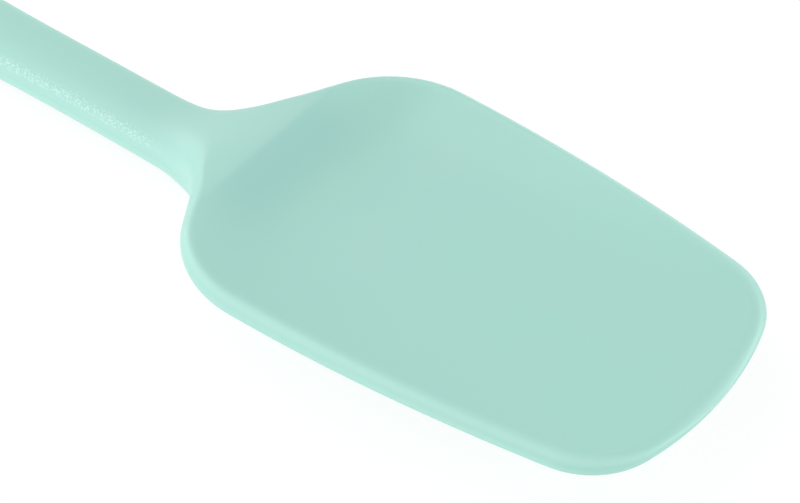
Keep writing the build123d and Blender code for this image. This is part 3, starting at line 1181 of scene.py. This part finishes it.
@dressing
def dress_silicone(material):
    shader = principled(material, {"IOR": 1.41})
    where = object_place()
    along, beside = split(where)
    clouds = soft_clouds({
        "Vector": where,
        "Cloud Size": 24 * mm,
        "First Color": MINT,
        "Second Color": OTHER_MINT,
    })
    # the fold band is a painted shade just behind the crest, not a change of pigment
    wall = band(along, FOLD_FROM_CREST, crest_x)
    fold = wall * ramp(maths("ABSOLUTE", beside), *FOLD_ACROSS)
    blasted = ramp(along, *BLASTED_ALONG)
    blasting = fine_grain({"Vector": where, "Grain Size": 0.34 * mm, "Sharpness": 0.6})
    etching = fine_grain({"Vector": where, "Grain Size": 0.16 * mm, "Sharpness": 0.5})
    attribute = place("ShaderNodeAttribute")
    attribute.attribute_name = "seam"
    from_edge = Field(attribute, "Fac")
    line = ramp(from_edge, *LINE_WIDTH)
    shoulder = band(from_edge, SHOULDER_FROM_EDGE) * ramp(Field(along.node, "Z"), *SHOULDER_HEIGHT)
    # on the silicone this mask is painted glints on the grain's peaks along the upper shoulder, not
    # wear
    wear_and_glints = blasting["Specks"] * shoulder * blasted
    # the lip band is a painted highlight on the thin lip
    lip = band(from_edge, LIP_FROM_EDGE) * ramp(along, *LIP_ALONG)
    pigment = clouds["Color"]
    # fold, shoulder and lip tints are painted shade, glints and highlight; the line is the mould's
    # join
    tints = (
        (fold * 0.7, FOLD_PAINTED_SHADE),
        (wear_and_glints * 0.32, SHOULDER_PAINTED_GLINT),
        (lip * 0.7, LIP_PAINTED_HIGHLIGHT),
        (line * 0.3, LINE_MINT),
    )
    for share, tint in tints:
        pigment = mix_color(share, pigment, tint)
    feed(shader.inputs["Base Color"], pigment)
    on_grip = GRIP_ROUGHNESS - POLISH * wear_and_glints
    on_blade = BLADE_ROUGHNESS + 0.04 * clouds["Cloud"]
    feed(shader.inputs["Roughness"], pick(blasted, on_grip, on_blade))
    height = etching["Height"] * 0.12 + blasting["Height"] * blasted + line * 0.8
    feed(shader.inputs["Normal"], bump(height, strength=0.5, distance=0.05 * mm))


dress_silicone(skin_material)
print("silicone:", len(skin_material.node_tree.nodes), "nodes")

# %% [markdown]
# ## What lies inside
# Three kinds of hidden work stiffen the skin: a stamped steel spine, two nylon halves that fill out
# the grip and the rivets that clamp them. They come from the CAD model as they are, and each gets
# the finish that such a piece usually has: rolled sheet with its grain along the strip, moulded
# nylon, and rivets with rubbed heads.

# %% Steel, nylon and rivets
DARK_STEEL, BRIGHT_STEEL = (0.52, 0.53, 0.54, 1.0), (0.62, 0.62, 0.62, 1.0)
PALE_NYLON, YELLOWED_NYLON = (0.79, 0.78, 0.73, 1.0), (0.70, 0.69, 0.64, 1.0)
RIVET = (0.66, 0.66, 0.67, 1.0)
RUBBED_STEEL = (0.78, 0.78, 0.77, 1.0)
RUBBED_NYLON = (0.88, 0.88, 0.86, 1.0)
RUBBED_RIVET = (0.86, 0.86, 0.86, 1.0)
ALONG_STRIP = (0.04, 1.0, 1.0)    # stretches the grain into rolling marks


@dressing
def dress_steel(material):
    shader = principled(material, {"Metallic": 1.0})
    where = object_place()
    rolled = stretched(where, ALONG_STRIP)
    rolling = fine_grain({"Vector": rolled, "Grain Size": 0.25 * mm, "Sharpness": 0.6})
    clouds = soft_clouds({
        "Vector": where,
        "Cloud Size": 12 * mm,
        "First Color": DARK_STEEL,
        "Second Color": BRIGHT_STEEL,
    })
    # here this mask is real wear on the rubbed edges
    wear_and_glints = rubbed_edges({"Edge Width": 0.25 * mm, "Vector": where})["Rubbed"]
    feed(shader.inputs["Base Color"], mix_color(wear_and_glints, clouds["Color"], RUBBED_STEEL))
    feed(shader.inputs["Roughness"], 0.28 + 0.18 * rolling["Height"] - POLISH * wear_and_glints)
    feed(shader.inputs["Normal"], bump(rolling["Height"], strength=0.3, distance=0.02 * mm))


@dressing
def dress_nylon(material):
    shader = principled(material, {"IOR": 1.53})
    where = object_place()
    skin_grain = fine_grain({"Vector": where, "Grain Size": 0.2 * mm, "Sharpness": 0.5})
    clouds = soft_clouds({
        "Vector": where,
        "Cloud Size": 9 * mm,
        "First Color": PALE_NYLON,
        "Second Color": YELLOWED_NYLON,
    })
    # here this mask is real wear on the rubbed edges
    wear_and_glints = rubbed_edges({"Edge Width": 0.3 * mm, "Vector": where})["Rubbed"]
    feed(shader.inputs["Base Color"], mix_color(wear_and_glints * 0.5, clouds["Color"], RUBBED_NYLON))
    feed(shader.inputs["Roughness"], 0.42 + 0.12 * clouds["Cloud"])
    feed(shader.inputs["Normal"], bump(skin_grain["Height"], strength=0.4, distance=0.03 * mm))


@dressing
def dress_rivet(material):
    shader = principled(material, {"Metallic": 1.0})
    where = object_place()
    hammered = fine_grain({"Vector": where, "Grain Size": 0.5 * mm, "Sharpness": 0.4})
    # here this mask is real wear on the rubbed edges
    wear_and_glints = rubbed_edges({"Edge Width": 0.2 * mm, "Vector": where})["Rubbed"]
    feed(shader.inputs["Base Color"], mix_color(wear_and_glints, RIVET, RUBBED_RIVET))
    feed(shader.inputs["Roughness"], 0.34 + 0.16 * hammered["Specks"] - POLISH * wear_and_glints)
    feed(shader.inputs["Normal"], bump(hammered["Height"], strength=0.5, distance=0.04 * mm))


# %% Paint the hidden parts
FINISHES = {
    "spine_steel": (dress_steel, ["steel_spine"]),
    "core_nylon": (dress_nylon, ["nylon_core_top", "nylon_core_bottom"]),
    "rivet_metal": (dress_rivet, ["core_rivet_1", "core_rivet_2", "core_rivet_3"]),
}
for name, (dress, pieces) in FINISHES.items():
    material = new_material(name)
    dress(material)
    for piece in pieces:
        mesh = frame["nodes"][piece].data
        mesh.materials.clear()
        mesh.materials.append(material)
    print(name, "on", ", ".join(pieces))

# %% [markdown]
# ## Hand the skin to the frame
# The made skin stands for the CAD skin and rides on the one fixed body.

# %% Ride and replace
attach(skin, "root")
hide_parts("silicone_skin")
cad_skin = frame["nodes"]["silicone_skin"].data
cad_skin.materials.clear()
cad_skin.materials.append(skin_material)
